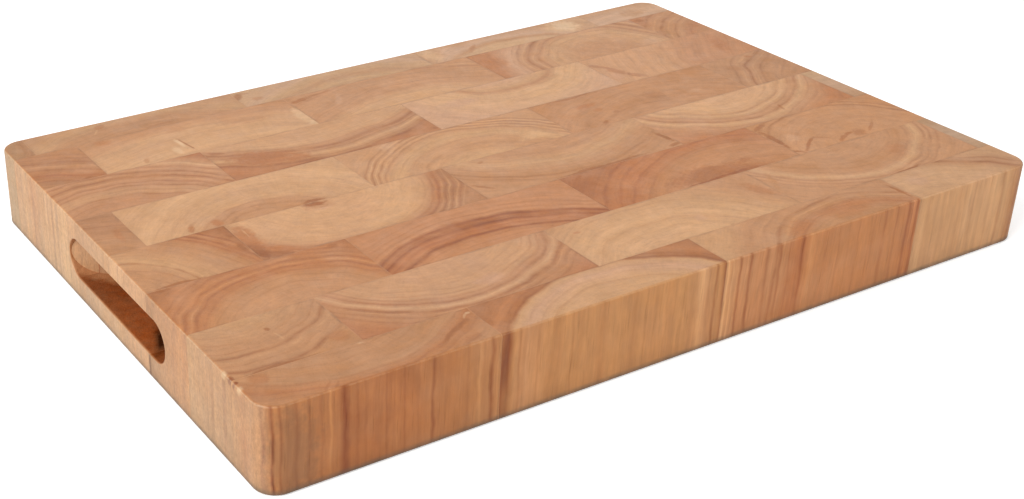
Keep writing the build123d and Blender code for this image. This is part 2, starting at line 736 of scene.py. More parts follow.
        lines=((42, 0.7, 0.12), (50, 0.8, 0.15), (58, 0.8, 0.2), (66, 0.8, 0.15), (76, 0.8, 0.2)),
        marks=(
            Mark(-52, 11, 3.5, 1.6, 0, "rust", 0.6),
            Mark(58, 2, 6, 13, 25, "rust", 0.6),
            Mark(11, -8, 5, 4, 0, "blush", 0.7),
        ),
    ),
    "row_7_block_4": Chart(
        heart=(0, 49),
        rings=(
            (24, "tan"),
            (44, "tan"),
            (54, "honey"),
            (60, "tan"),
            (63.5, "straw"),
            (68, "tan"),
            (76, "tan"),
        ),
        lines=(
            (34, 0.8, 0.15),
            (42, 0.8, 0.2),
            (49, 0.8, 0.2),
            (54, 0.8, 0.2),
            (59, 0.9, 0.25),
            (63.5, 2.0, -0.2),
            (67.5, 1.0, 0.45),
            (69.3, 0.7, -0.3),
            (71, 1.0, 0.5),
            (75, 0.9, 0.4),
        ),
        marks=(
            Mark(-60, 4, 3, 11, -27, "honey", 0.8),
            Mark(25, 0, 11, 7, 30, "rust", 0.5),
            Mark(8, -20.5, 24, 1.4, 0, "umber", 0.8),
        ),
        tint=(1.02, 1.03, 1.05),
    ),
    "row_7_block_5": Chart(
        heart=(0, 60),
        rings=((40, "tan"), (60, "blush"), (80, "tan")),
        tint=(0.86, 1.0, 1.12),
    ),
    # Row 8, along the front edge
    "row_8_block_1": Chart(
        heart=(-6, 80),
        rings=((66, "honey"), (74, "tan"), (80, "honey"), (86, "tan"), (92, "rust"), (110, "honey")),
        lines=(
            (70, 0.8, 0.2),
            (76, 0.8, 0.25),
            (82, 0.8, 0.2),
            (88, 0.9, 0.3),
            (93, 1.0, 0.35),
            (98, 0.8, 0.2),
        ),
        marks=(
            Mark(-49, 8, 7, 5, 0, "rust", 0.7),
            Mark(-27, -10, 1.0, 5, -35, "umber", 0.5),
            Mark(-23, -10, 0.9, 4, -35, "umber", 0.4),
            Mark(42, 0, 2.2, 20, -58, "umber", 0.8),
            Mark(54, 9, 1.0, 4, -50, "cream", 0.6),
            Mark(46, -9, 8, 3, 25, "umber", 0.5),
            Mark(57, 10.5, 1.6, 1.2, 0, "chip", 0.35),
            Mark(3, 12.5, 2.2, 0.9, 0, "chip", 0.3),
            Mark(-53, -11, 3, 1.5, 0, "umber", 0.6),
            Mark(-57.5, 11.5, 2.0, 1.6, 0, "walnut", 1.0, 43, 3),
            Mark(-57.8, 7, 2.0, 2.8, 0, "chip", 0.5, 43, 3),
            # Painted shade over the rounded near corner
            Mark(-45, -14, 18, 9, 0, "dusk", 0.6, 18, 32),
        ),
        front=(
            (-56.3, 1.0, 0.9),
            (-53.2, 1.1, 1.2),
            (-50.0, 1.0, 0.6),
            (-47.0, 0.8, 0.2),
            (-43, 2.0, 0.4),
            (-37, 1.2, 0.4),
            (-31, 1.2, 0.3),
            (-26.7, 1.0, -0.5),
            (-20, 3.2, 0.95),
            (-14, 1.2, 0.3),
            (-10, 1.0, 0.25),
            (0, 0.8, 0.3),
            (5, 0.7, -0.2),
            (9, 0.8, 0.3),
            (16, 1.2, 0.2),
            (23.5, 1.4, 0.8),
            (33, 3.0, 0.05),
            (41, 1.0, 0.2),
            (47.5, 1.6, -0.5),
            (54, 1.8, 0.9),
            (57.2, 0.6, -0.3),
        ),
        end=((7, 2.0, 0.3), (-1, 1.0, -0.2), (-8, 1.5, 0.25)),
        tint=(0.93, 0.92, 0.9),
        end_tint=(0.98, 1.0, 1.0),
        front_tint=(1.09, 1.06, 1.04),
    ),
    "row_8_block_2": Chart(
        heart=(2, -65),
        rings=(
            (50, "straw"),
            (64, "straw"),
            (73, "blush"),
            (78.5, "straw"),
            (81.5, "umber"),
            (87, "rust"),
            (98, "umber"),
        ),
        lines=(
            (56, 0.7, 0.12),
            (64, 1.0, 0.3),
            (69, 0.7, 0.15),
            (74, 0.7, 0.2),
            (81, 1.2, 0.6),
            (84.5, 0.8, 0.3),
        ),
        marks=(Mark(-62, -1, 3, 7, 0, "umber", 0.7),),
        front=(
            (-60, 3.4, 1.0),
            (-54, 1.0, 0.4),
            (-50, 0.8, -0.2),
            (-44, 0.8, 0.2),
            (-33, 3.0, 0.2),
            (-25, 1.0, 0.3),
            (-17, 0.8, 0.2),
            (-8, 3.0, 0.25),
            (2, 0.8, -0.2),
            (10, 1.6, 0.25),
            (17, 1.0, 0.25),
            (29, 0.8, 0.15),
            (39, 5.0, -0.3),
            (50, 5.0, -0.75),
            (58.5, 1.3, 0.7),
        ),
        front_tint=(1.0, 0.90, 0.75),
    ),
    "row_8_block_3": Chart(
        heart=(20, -61),
        rings=(
            (46, "honey"),
            (56, "honey"),
            (62, "rust"),
            (68, "honey"),
            (73, "tan"),
            (86, "tan"),
            (96, "straw"),
        ),
        lines=(
            (50, 0.7, 0.2),
            (56, 0.8, 0.2),
            (61, 0.8, 0.3),
            (65, 0.8, 0.25),
            (68.6, 0.8, -0.4),
            (71.5, 1.1, 0.7),
            (77, 0.8, 0.2),
            (83, 0.8, 0.2),
        ),
        marks=(
            Mark(-10, -4, 14, 6, 20, "rust", 0.8),
            Mark(28, -3, 20, 8, 10, "rust", 0.7),
            Mark(61, -1, 1.8, 10, 0, "umber", 0.85),
        ),
        front=(
            (-62.5, 0.9, -0.7),
            (-59.5, 0.8, -0.4),
            (-55, 1.4, 0.7),
            (-48.5, 1.5, 0.8),
            (-43, 1.0, 0.1),
            (-38, 1.8, 0.65),
            (-29.5, 1.6, 0.7),
            (-23.5, 1.0, 0.25),
            (-15, 1.9, 0.8),
            (-9, 2.5, -0.5),
            (0, 2.0, 0.25),
            (9.5, 1.0, 0.25),
            (16, 0.8, 0.2),
            (22.5, 1.0, 0.25),
            (31.5, 1.0, -0.15),
            (40.5, 2.0, 0.5),
            (48.5, 1.0, 0.3),
            (56.8, 1.5, 0.8),
            (59.8, 0.7, -0.5),
            (62.3, 1.2, 0.8),
        ),
        front_tint=(1.14, 1.07, 1.06),
    ),
    "row_8_block_4": Chart(
        heart=(-36, -66),
        rings=((54, "straw"), (72, "cream"), (80, "straw"), (86, "honey"), (90, "tan"), (100, "straw")),
        lines=((60, 0.8, 0.15), (68, 0.8, 0.15), (75, 0.8, 0.15), (86.5, 1.8, 0.75), (92.5, 1.2, 0.55)),
        marks=(Mark(-33, -4, 4, 10, 25, "cream", 0.7), Mark(-26, 2, 8, 8, 0, "blush", 0.6)),
        front=(
            (-37, 2.5, -0.3),
            (-23, 2.0, 0.15),
            (-16, 0.8, 0.15),
            (-11, 1.5, 0.25),
            (-4, 0.8, -0.15),
            (0, 1.0, 0.2),
            (12, 1.5, 0.25),
            (21, 1.6, 0.4),
            (29, 1.0, 0.3),
        ),
        tint=(0.95, 0.96, 1.0),
        front_tint=(1.14, 1.17, 1.23),
    ),
}

SEED_STEP = 37.3  # millimetres of noise between one block and the next
NOMINAL_RADIUS = 60.0  # where streaks round the heart have just the length that is given for them
LINES_IN_A_RAMP = 9  # a colour ramp holds no more than 32 stops
LINE_BREADTH = 1.3  # what the half widths of the lines between rings are multiplied by
LINE_SHADE = (0.28, 0.42, 0.55)  # what a line of full strength takes from each part of the colour
NO_JOINT_BEYOND = 9.0  # millimetres that a block's box is carried on past the edge of the board
TORN_FIBRE_RELIEF = 6.0  # how much rougher the cutter left the grips than the rest

# What painted sheen, painted highlights, painted shade and painted shadows turn the wood's colour
# towards
PAINTED_END_SHEEN = (0.44, 0.50, 0.38)
PAINTED_EDGE_HIGHLIGHT = (0.80, 0.58, 0.38)
SHADED_EDGE = (0.16, 0.10, 0.06)
PAINTED_RIM_SHADOW = (0.13, 0.09, 0.055)
SEAM_SHADOW = (0.11, 0.055, 0.025)

# The studio, in metres and degrees from the board's frame
FLOOR_GAP = 0.2 * MM
FLOOR_GLOW = 0.4  # light that the floor adds where the camera looks at it
KEY_LAMP_PLACE = (-2.75, -0.55, 1.9)
KEY_LAMP_SIZE = 2.0
BACK_LAMP_PLACE = (0.9, 1.6, 1.0)
BACK_LAMP_SIZE = 1.6
CAMERA_PLACE = (-0.4648, -0.6168, 0.3917)
CAMERA_TURN = -29.29
CAMERA_DIP = 27.82
CAMERA_ROLL = -0.89


# ---------------------------------------------------------------------------------------------
# What a user would change
# ---------------------------------------------------------------------------------------------


def colour_setting(name, description, default):
    """Return a property for a colour."""
    return FloatVectorProperty(
        name=name,
        description=description,
        subtype="COLOR",
        size=3,
        min=0.0,
        max=1.0,
        default=default,
    )


def wood_colour(name, default):
    """Return a property for one of the wood's colours."""
    return colour_setting(name, f"Colour of the {name.lower()} wood", default)


class BoardWoodColours(bpy.types.PropertyGroup):
    """The colours that the growth rings and marks are drawn in."""

    cream: wood_colour("Cream", (0.625, 0.335, 0.155))
    straw: wood_colour("Straw", (0.570, 0.295, 0.130))
    blush: wood_colour("Blush", (0.575, 0.305, 0.165))
    tan: wood_colour("Tan", (0.505, 0.235, 0.098))
    honey: wood_colour("Honey", (0.480, 0.210, 0.075))
    ash: wood_colour("Ash", (0.420, 0.175, 0.062))
    rust: wood_colour("Rust", (0.450, 0.165, 0.048))
    umber: wood_colour("Umber", (0.355, 0.118, 0.026))
    walnut: wood_colour("Walnut", (0.270, 0.072, 0.012))
    # Painted shade: the colour painted over the rounded near corner
    dusk: wood_colour("Dusk", (0.270, 0.125, 0.055))
    chip: wood_colour("Chip", (0.820, 0.560, 0.330))


class BoardWoodGrain(bpy.types.PropertyGroup):
    """The sizes and strengths of the grain, and of the light and shade painted on the wood."""

    ring_sway: FloatProperty(
        name="Ring sway",
        description="How far the growth rings wander from true circles, in millimetres",
        default=3.0,
        min=0.0,
        max=12.0,
    )
    ring_fray: FloatProperty(
        name="Ring fray",
        description="How far the edges of the growth rings are frayed, in millimetres",
        default=0.7,
        min=0.0,
        max=6.0,
    )
    lean: FloatProperty(
        name="Lean",
        description="How far the grain leans over from upright",
        default=math.radians(1.5),
        min=0.0,
        max=math.radians(10),
        subtype="ANGLE",
    )
    broad_streaks: FloatProperty(
        name="Broad streaks",
        description="Strength of the streaks that run along the rings, some millimetres across",
        default=0.16,
        min=0.0,
        max=1.0,
    )
    fine_streaks: FloatProperty(
        name="Fine streaks",
        description="Strength of the streaks that run along the rings, about a millimetre across",
        default=0.14,
        min=0.0,
        max=1.0,
    )
    rays: FloatProperty(
        name="Rays",
        description="Strength of the fine lines that run outwards from the heart",
        default=0.07,
        min=0.0,
        max=1.0,
    )
    blotches: FloatProperty(
        name="Blotches",
        description="Strength of the broad uneven patches in the wood",
        default=0.10,
        min=0.0,
        max=1.0,
    )
    mottle: FloatProperty(
        name="Mottle",
        description="Strength of the small uneven specks in the wood",
        default=0.12,
        min=0.0,
        max=1.0,
    )
    pore_spacing: FloatProperty(
        name="Pore spacing",
        description="Distance between pores on the end grain, in millimetres",
        default=1.2,
        min=0.3,
        max=5.0,
    )
    pore_depth: FloatProperty(
        name="Pore depth",
        description="How deep the pores look",
        default=0.00012,
        min=0.0,
        max=0.002,
        unit="LENGTH",
    )
    side_shade: colour_setting(
        name="Side shade",
        description="What the wood's colour is multiplied by where the grain is seen from the side",
        default=(1.0, 0.945, 0.81),
    )
    side_streaks: FloatProperty(
        name="Side streaks",
        description="Strength of the upright streaks where the grain is seen from the side",
        default=0.34,
        min=0.0,
        max=1.0,
    )
    # Painted sheen on the two ends of the board: how pale they are painted
    end_sheen: FloatProperty(
        name="End bloom",
        description="How pale and dusty the wood is on the two ends of the board",
        default=0.2,
        min=0.0,
        max=1.0,
    )
    # Painted highlight on the eased edges of the top: how much paler they are painted
    edge_highlight: FloatProperty(
        name="Edge wear",
        description="How much paler the eased edges of the top are rubbed",
        default=0.16,
        min=0.0,
        max=1.0,
    )
    joint_shade: FloatProperty(
        name="Joint shade",
        description="How much the wood is darkened by glue in places beside a joint",
        default=0.22,
        min=0.0,
        max=1.0,
    )
    # Painted contact shadow on the rim that the board stands on: how dark it is
    rim_shade: FloatProperty(
        name="Rim shade",
        description="How soiled the rim is that the board stands on",
        default=0.85,
        min=0.0,
        max=1.0,
    )
    # The colour of the floor and back of the grips: burnt by the cutter, and painted shade
    grip_scorch_and_shade: colour_setting(
        name="Scorch",
        description="Colour that the cutter has left on the floor and back of the grips",
        default=(0.290, 0.066, 0.012),
    )


class BoardGlue(bpy.types.PropertyGroup):
    """The glue between the blocks."""

    colour: colour_setting(
        name="Glue colour",
        description="Colour of the cured glue",
        default=(0.49, 0.225, 0.094),
    )


class BoardStudio(bpy.types.PropertyGroup):
    """The floor, the lamps and the camera."""

    floor_colour: colour_setting(
        name="Floor colour",
        description="Colour of the plain floor",
        default=(0.9, 0.9, 0.9),
    )
    floor_size: FloatProperty(
        name="Floor size",
        description="Length of each side of the floor",
        default=12.0,
        min=1.0,
        unit="LENGTH",
    )
    sky: FloatProperty(
        name="Sky",
        description="Strength of the even light from all round",
        default=0.645,
        min=0.0,
        max=2.0,
    )
    key_power: FloatProperty(
        name="Key lamp",
        description="Power of the large soft lamp at the board's left",
        default=86.0,
        min=0.0,
        unit="POWER",
    )
    back_power: FloatProperty(
        name="Back lamp",
        description="Power of the large soft lamp behind the board, which shines off its top",
        default=4.0,
        min=0.0,
        unit="POWER",
    )
    lens: FloatProperty(
        name="Lens",
        description="Focal length of the camera, in millimetres",
        default=55.37,
        min=10.0,
        max=200.0,
    )
    shift: FloatProperty(
        name="Sideways shift",
        description="Shift of the camera's frame, as a share of its width",
        default=0.1967,
        min=-1.0,
        max=1.0,
    )


# ---------------------------------------------------------------------------------------------
# Shader building
# ---------------------------------------------------------------------------------------------


def add_node(tree, kind, inputs=None, **settings):
    """Add a shader node, give it its settings, then set its inputs or link them to sockets."""
    node = tree.nodes.new(kind)
    for name, value in settings.items():
        setattr(node, name, value)
    for key, value in (inputs or {}).items():
        if isinstance(value, bpy.types.NodeSocket):
            tree.links.new(value, node.inputs[key])
        else:
            node.inputs[key].default_value = value
    return node


def maths(tree, operation, first, second=0.0, third=0.0):
    """Return the result of one sum on numbers or sockets."""
    node = add_node(tree, "ShaderNodeMath", {0: first, 1: second, 2: third}, operation=operation)
    return node.outputs[0]


def product(tree, *factors):
    """Return the product of several numbers or sockets."""
    result = factors[0]
    for factor in factors[1:]:
        result = maths(tree, "MULTIPLY", result, factor)
    return result


def vector_maths(tree, operation, first, second=(0.0, 0.0, 0.0)):
    """Return the result of one sum on vectors: a vector, or a number for a length."""
    node = add_node(tree, "ShaderNodeVectorMath", {0: first, 1: second}, operation=operation)
    return node.outputs["Value"] if operation == "LENGTH" else node.outputs["Vector"]


def scaled(tree, vector, amount):
    """Return a vector, or a colour, multiplied by a number."""
    node = add_node(tree, "ShaderNodeVectorMath", {0: vector, "Scale": amount}, operation="SCALE")
    return node.outputs["Vector"]


def spread(tree, value, low, high, to_low=0.0, to_high=1.0, smooth=False):
    """Return value carried from low..high to to_low..to_high, and held there beyond the ends."""
    inputs = {"Value": value, "From Min": low, "From Max": high, "To Min": to_low, "To Max": to_high}
    kind = "SMOOTHSTEP" if smooth else "LINEAR"
    node = add_node(tree, "ShaderNodeMapRange", inputs, interpolation_type=kind, clamp=True)
    return node.outputs["Result"]


def noise(tree, place, scale=1.0, detail=2.0, roughness=0.5, output="Fac"):
    """Return a noise at a place, with scale in waves for each unit of the place."""
    inputs = {"Vector": place, "Scale": scale, "Detail": detail, "Roughness": roughness}
    return add_node(tree, "ShaderNodeTexNoise", inputs).outputs[output]


def swing(tree, value, amount):
    """Return a noise that runs from 0 to 1 as one that swings round zero by an amount."""
    return maths(tree, "MULTIPLY_ADD", value, 2.0 * amount, -amount)


def mix_colour(tree, amount, first, second):
    """Return a mix of two colours, which may be sockets or plain colours."""
    colours = [
        colour if isinstance(colour, bpy.types.NodeSocket) else (*colour, 1.0)
        for colour in (first, second)
    ]
    inputs = {0: amount, 6: colours[0], 7: colours[1]}
    node = add_node(tree, "ShaderNodeMix", inputs, data_type="RGBA", clamp_factor=True)
    return node.outputs[2]


def split(tree, vector):
    """Return the outputs that hold the X, Y and Z of a vector."""
    return add_node(tree, "ShaderNodeSeparateXYZ", {0: vector}).outputs


def joined(tree, x, y, z):
    """Return a vector made of its three parts."""
    return add_node(tree, "ShaderNodeCombineXYZ", {"X": x, "Y": y, "Z": z}).outputs[0]


def drawn_out(tree, place, factors):
    """Return a place multiplied part by part, where a noise is drawn out along the small ones."""
    return vector_maths(tree, "MULTIPLY", place, factors)


def new_group(name, inputs, outputs):
    """Make a node group with its sockets, and return it with its two end nodes."""
    group = bpy.data.node_groups.new(name, "ShaderNodeTree")
    kinds = {"number": "NodeSocketFloat", "vector": "NodeSocketVector", "colour": "NodeSocketColor"}
    for direction, sockets in (("INPUT", inputs), ("OUTPUT", outputs)):
        for socket, kind in sockets.items():
            group.interface.new_socket(socket, in_out=direction, socket_type=kinds[kind])
    return group, add_node(group, "NodeGroupInput"), add_node(group, "NodeGroupOutput")


def add_group(tree, group, inputs):
    """Add a node group to a tree, with its inputs set or linked."""
    return add_node(tree, "ShaderNodeGroup", inputs, node_tree=group)


def place_in_millimetres(tree):
    """Return the point that is being shaded, in the board's frame and in millimetres."""
    position = add_node(tree, "ShaderNodeTexCoord").outputs["Object"]
    return vector_maths(tree, "MULTIPLY", position, (1 / MM, 1 / MM, 1 / MM))


def make_ring_group(grain):
    """Make the node group that finds where a point lies in its tree."""
    inputs = {"Heart": "vector", "Seed": "number"}
    outputs = {
        "Place": "vector",
        "Upright place": "vector",
        "Seeded place": "vector",
        "Outwards": "vector",
        "Ring distance": "number",
    }
    group, given, result = new_group("upright rings", inputs, outputs)

    # Where the point lies once it is brought up the leaning grain to the top face
    place = place_in_millimetres(group)
    group.links.new(place, result.inputs["Upright place"])
    at = split(group, place)
    depth = maths(group, "SUBTRACT", BOARD_TOP, at["Z"])
    leaning = maths(group, "MULTIPLY", depth, math.tan(grain.lean))
    x = maths(group, "ADD", at["X"], leaning)
    y = maths(group, "MULTIPLY_ADD", leaning, -0.5, at["Y"])
    upright = joined(group, x, y, at["Z"])
    seed_step = maths(group, "MULTIPLY", given.outputs["Seed"], SEED_STEP)
    shift = joined(group, seed_step, seed_step, seed_step)
    seeded = vector_maths(group, "ADD", upright, shift)
    group.links.new(seeded, result.inputs["Seeded place"])

    # The rings sway a little in plan, and less along the trunk
    along_trunk = drawn_out(group, seeded, (1.0, 1.0, 0.22))
    swayed = upright
    for scale, reach in ((0.035, 2.6), (0.16, 0.35)):
        wave = noise(group, along_trunk, scale, 1.0, 0.5, "Color")
        push = vector_maths(group, "SUBTRACT", wave, (0.5, 0.5, 0.5))
        size = (grain.ring_sway * reach, grain.ring_sway * reach, 0.0)
        swayed = vector_maths(group, "ADD", swayed, vector_maths(group, "MULTIPLY", push, size))
    group.links.new(swayed, result.inputs["Place"])

    # How far the point is from the heart of the tree, and which way
    from_heart = vector_maths(group, "SUBTRACT", swayed, given.outputs["Heart"])
    in_plan = vector_maths(group, "MULTIPLY", from_heart, (1.0, 1.0, 0.0))
    distance = vector_maths(group, "LENGTH", in_plan)
    group.links.new(distance, result.inputs["Ring distance"])
    group.links.new(vector_maths(group, "NORMALIZE", in_plan), result.inputs["Outwards"])
    return group


def streak_noise(tree, outwards, distance, seeded, round_scale, out_scale, detail=2.0):
    """Return a noise with one scale round the rings and another one outwards.

    It changes slowly up the trunk, so it shows as upright streaks on the sides of a block.
    """
    round_place = vector_maths(tree, "MULTIPLY", outwards, (NOMINAL_RADIUS * round_scale,) * 3)
    up_trunk = maths(tree, "MULTIPLY", split(tree, seeded)["Z"], 0.02)
    out_place = maths(tree, "MULTIPLY_ADD", distance, out_scale, up_trunk)
    climb = joined(tree, up_trunk, up_trunk, out_place)
    return noise(tree, vector_maths(tree, "ADD", round_place, climb), 1.0, detail, 0.6)


def make_grain_group(grain):
    """Make the node group for all that the rings and the fibres do to a block's wood."""
    inputs = {"Seeded place": "vector", "Outwards": "vector", "Ring distance": "number"}
    outputs = {
        "Frayed distance": "number",
        "Chart strength": "number",
        "Line strength": "number",
        "Tone": "number",
        "Pinkness": "number",
        "Relief": "number",
        "Roughness": "number",
    }
    group, given, result = new_group("upright grain", inputs, outputs)
    seeded = given.outputs["Seeded place"]
    distance = given.outputs["Ring distance"]
    ring_place = (group, given.outputs["Outwards"], distance, seeded)
    broad = streak_noise(*ring_place, 0.045, 0.22)
    fine = streak_noise(*ring_place, 0.13, 0.85, 3.0)
    rays = streak_noise(*ring_place, 0.9, 0.05)

    frayed = maths(group, "ADD", distance, swing(group, fine, grain.ring_fray))
    group.links.new(frayed, result.inputs["Frayed distance"])
    wide_patches = noise(group, seeded, 0.028, 2.0, 0.6)
    strength = spread(group, wide_patches, 0.35, 0.6, 0.75, 1.0, smooth=True)
    group.links.new(strength, result.inputs["Chart strength"])
    breaks = noise(group, seeded, 0.055, 3.0, 0.6)
    line_strength = spread(group, breaks, 0.36, 0.58, 0.45, 1.2, smooth=True)
    group.links.new(line_strength, result.inputs["Line strength"])

    # Fibres and pores are tubes: dots and short dashes on the faces, long lines down the sides
    fibres = noise(group, drawn_out(group, seeded, (1.0, 1.0, 0.03)), 0.9, 3.0, 0.6)
    pore_place = drawn_out(group, seeded, (1.0, 1.0, 0.04))
    pore_inputs = {"Vector": pore_place, "Scale": 1.0 / grain.pore_spacing}
    pore_distance = add_node(group, "ShaderNodeTexVoronoi", pore_inputs).outputs["Distance"]
    pores = spread(group, pore_distance, 0.1, 0.24, 1.0, 0.0)

    tone = 1.0
    blotches = noise(group, seeded, 0.06, 3.0, 0.6)
    mottle = noise(group, drawn_out(group, seeded, (1.0, 1.0, 0.3)), 0.32, 3.0, 0.7)
    for wave, amount in (
        (broad, grain.broad_streaks),
        (fine, grain.fine_streaks),
        (rays, grain.rays),
        (blotches, grain.blotches),
        (mottle, grain.mottle),
        (fibres, 0.06),
    ):
        tone = maths(group, "ADD", tone, swing(group, wave, amount))
    tone = maths(group, "MULTIPLY_ADD", pores, -0.10, tone)
    group.links.new(tone, result.inputs["Tone"])
    pinkness = spread(group, noise(group, seeded, 0.045, 2.0, 0.5), 0.45, 0.75, 0.0, 0.35)
    group.links.new(pinkness, result.inputs["Pinkness"])

    relief = maths(group, "SUBTRACT", swing(group, fibres, 0.5), pores)
    group.links.new(relief, result.inputs["Relief"])
    gloss = spread(group, noise(group, seeded, 0.15, 3.0, 0.6), 0.3, 0.7, 0.46, 0.60)
    rough = maths(group, "MULTIPLY_ADD", pores, 0.2, gloss)
    group.links.new(rough, result.inputs["Roughness"])
    return group


def shade_by(tree, colour, amount):
    """Return a colour darkened by a line of the strength given, or made paler below 0."""
    taken = scaled(tree, LINE_SHADE, amount)
    return vector_maths(tree, "MULTIPLY", colour, vector_maths(tree, "SUBTRACT", (1, 1, 1), taken))


class Spot(NamedTuple):
    """The spot of wood that a node group is shading.

    place is where it lies, and at holds the parts of that.  seeded is its place shifted for each
    block, for the noises.  normal holds the parts of the way that it faces, and facing holds how
    large they are, whichever way they point.
    """

    place: bpy.types.NodeSocket
    seeded: bpy.types.NodeSocket
    at: bpy.types.NodeOutputs
    normal: bpy.types.NodeOutputs
    facing: bpy.types.NodeOutputs


def look_at_spot(group, seeded):
    """Return the spot that a node group is shading."""
    place = place_in_millimetres(group)
    normal = add_node(group, "ShaderNodeNewGeometry").outputs["Normal"]
    facing = vector_maths(group, "ABSOLUTE", normal)
    return Spot(place, seeded, split(group, place), split(group, normal), split(group, facing))


def show_side_grain(group, spot, colour, grain):
    """Return the colour with the shade and streaks that the wood has along its length."""
    side = spread(group, spot.facing["Z"], 0.6, 0.25, 0.0, 1.0, smooth=True)
    shaded = vector_maths(group, "MULTIPLY", colour, tuple(grain.side_shade))
    thin = noise(group, drawn_out(group, spot.seeded, (0.5, 0.5, 0.018)), 1.0, 3.0, 0.65)
    wide = noise(group, drawn_out(group, spot.seeded, (0.14, 0.14, 0.008)), 1.0, 2.0, 0.6)
    streaks = maths(group, "ADD", swing(group, thin, grain.side_streaks), swing(group, wide, 0.14))
    return mix_colour(group, side, colour, shade_by(group, shaded, streaks))


def paint_end_sheen_and_specks(group, spot, colour, grain):
    """Return the colour with the painted sheen and the specks of the board's ends."""
    on_end = spread(group, spot.facing["X"], 0.45, 0.85, 0.0, grain.end_sheen, smooth=True)
    # Painted sheen, strongest on the left end, towards the back and low down
    sheen = product(
        group,
        on_end,
        spread(group, spot.normal["X"], 0.3, -0.3, 0.35, 1.0),
        spread(group, spot.at["Y"], -150.0, 90.0, 0.7, 1.1),
        spread(group, spot.at["Z"], 30.0, 8.0, 1.0, 1.3),
    )
    colour = mix_colour(group, sheen, colour, PAINTED_END_SHEEN)
    rough_end = noise(group, drawn_out(group, spot.seeded, (1.0, 1.0, 0.6)), 0.7, 3.0, 0.8)
    specks = product(group, on_end, swing(group, rough_end, 2.3))
    return scaled(group, colour, maths(group, "ADD", 1.0, specks))


def paint_top_edge_light(group, spot, colour, grain):
    """Return the colour with a painted highlight on the top's eased edges, painted shade at the far
    ones.
    """
    near_top = spread(group, spot.at["Z"], BOARD_TOP - 2.0, BOARD_TOP - 1.4)
    slope = maths(group, "ABSOLUTE", maths(group, "SUBTRACT", spot.facing["Z"], 0.65))
    # Painted highlight, strongest on the edges of the ends and broken by noise
    wear_and_light = product(
        group,
        spread(group, slope, 0.3, 0.1),
        near_top,
        spread(group, noise(group, spot.seeded, 0.4, 3.0, 0.7), 0.35, 0.65, 0.1, 1.5),
        spread(group, spot.facing["X"], 0.2, 0.6, 0.45, 1.0),
        grain.edge_highlight,
    )
    colour = mix_colour(group, wear_and_light, colour, PAINTED_EDGE_HIGHLIGHT)
    # Painted shade on the eased edges that face the back and the right
    away = maths(group, "MAXIMUM", spot.normal["X"], spot.normal["Y"])
    far_edge = product(
        group,
        spread(group, away, 0.25, 0.6),
        spread(group, spot.normal["Z"], 0.1, 0.4),
        near_top,
        0.6,
    )
    return mix_colour(group, far_edge, colour, SHADED_EDGE)


def darken_joints(group, spot, colour, block_middle, block_half, grain):
    """Return the colour with the narrow and broken line that glue has darkened beside each joint."""
    offset = vector_maths(group, "SUBTRACT", spot.place, block_middle)
    from_middle = vector_maths(group, "ABSOLUTE", offset)
    room = split(group, vector_maths(group, "SUBTRACT", block_half, from_middle))
    to_joint = maths(group, "MINIMUM", room["X"], room["Y"])
    beside_joint = spread(group, to_joint, 0.2, 1.5, 1.0, 0.0, smooth=True)
    broken = spread(group, noise(group, spot.seeded, 0.06, 3.0, 0.7), 0.48, 0.64, 0.05, 1.0)
    darkness = product(group, beside_joint, broken, grain.joint_shade)
    return scaled(group, colour, maths(group, "SUBTRACT", 1.0, darkness))


def paint_rim_shadow(group, spot, colour, grain):
    """Return the colour with painted shade a little towards the table, and a painted shadow on the rim.
    """
    # Painted shade, a little darker towards the table
    low = spread(group, spot.at["Z"], 12.0, 2.0, 0.0, 0.10, smooth=True)
    colour = scaled(group, colour, maths(group, "SUBTRACT", 1.0, low))
    # Painted contact shadow on the rim just above the table
    rim_shadow = product(
        group,
        spread(group, spot.at["Z"], 4.0, 0.9, 0.0, grain.rim_shade, smooth=True),
        spread(group, noise(group, spot.seeded, 0.15, 3.0, 0.6), 0.3, 0.65, 0.6, 1.0),
        spread(group, spot.at["Z"], 0.01, 0.06),
    )
    return mix_colour(group, rim_shadow, colour, PAINTED_RIM_SHADOW)


def open_seam(group, spot, colour):
    """Return the colour with the dark of the seam that has opened under the left grip."""
    from_seam = maths(group, "ABSOLUTE", maths(group, "SUBTRACT", spot.at["Y"], OPEN_SEAM))
    opened = product(
        group,
        spread(group, from_seam, 1.0, 0.5),
        spread(group, spot.at["Z"], GRIP_LOW.z + 0.5, GRIP_LOW.z - 1.0),
        spread(group, spot.normal["X"], -0.5, -0.9),
    )
    return mix_colour(group, opened, colour, SEAM_SHADOW)


def inside_grips(tree, at):
    """Return how far in from the nearer end a place lies, and 1 where it is inside a finger grip.

    at holds the parts of the place, in millimetres.
    """
    from_end = maths(tree, "SUBTRACT", -LEFT_END, maths(tree, "ABSOLUTE", at["X"]))
    from_height = maths(tree, "ABSOLUTE", maths(tree, "SUBTRACT", at["Z"], GRIP_HEIGHT))
    from_middle = maths(tree, "ABSOLUTE", maths(tree, "SUBTRACT", at["Y"], GRIP_MIDDLE))
    inside = product(
        tree,
        spread(tree, from_end, 0.3, 1.2),
        spread(tree, from_end, GRIP_REACH, GRIP_REACH - 0.5),
        spread(tree, from_height, GRIP_HALF_HEIGHT + 0.4, GRIP_HALF_HEIGHT),
        spread(tree, from_middle, GRIP_HALF_LENGTH + 1.0, GRIP_HALF_LENGTH),
    )
    return from_end, inside


